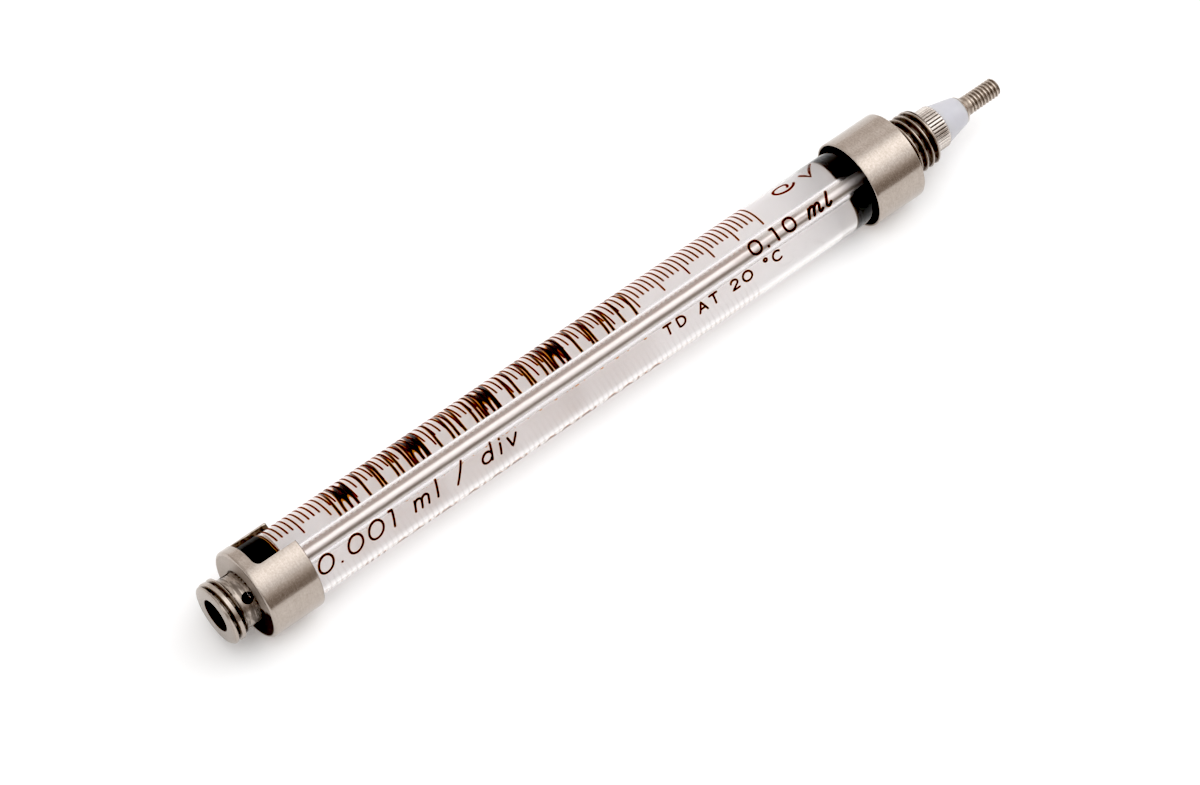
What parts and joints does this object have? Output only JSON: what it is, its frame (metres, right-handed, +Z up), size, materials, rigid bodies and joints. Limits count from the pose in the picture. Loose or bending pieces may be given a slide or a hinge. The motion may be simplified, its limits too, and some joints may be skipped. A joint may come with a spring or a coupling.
{
  "type": "microsyringe",
  "caption": "Straight glass microsyringe with a cemented metal fitting on each end, a threaded nose and a metal plunger that slides in the bore.",
  "frame": {"origin": "centre of the nose's front face, on the barrel's axis", "axes": "+X along the axis from the nose to the plunger's stud, +Z up as the syringe lies, +Y to its left"},
  "size_m": [0.094, 0.0092, 0.0092],
  "materials": {
    "fitting_steel": "fine turned stainless steel, satin",
    "nut_steel": "straight-ribbed stainless steel",
    "plunger_steel": "ground stainless steel",
    "barrel_glass": "clear polished borosilicate tube with fired amber-brown print",
    "black_epoxy": "black potting resin, glossy",
    "white_ptfe": "white fluoropolymer, waxy and faintly translucent"
  },
  "bodies": {
    "barrel": {"front_fitting": "fitting_steel", "glass_barrel": "barrel_glass", "front_cement": "black_epoxy", "rear_fitting": "fitting_steel", "rear_cement": "black_epoxy", "gland_nut": "nut_steel", "packing_ring": "white_ptfe", "guide_cone": "white_ptfe"},
    "plunger": {"plunger_rod": "plunger_steel", "plunger_stud": "plunger_steel"}
  },
  "joints": [
    {"name": "plunger_slide", "type": "slide", "parent": "barrel", "child": "plunger", "axis": [1, 0, 0], "range_m": [0, 0.06]}
  ]
}
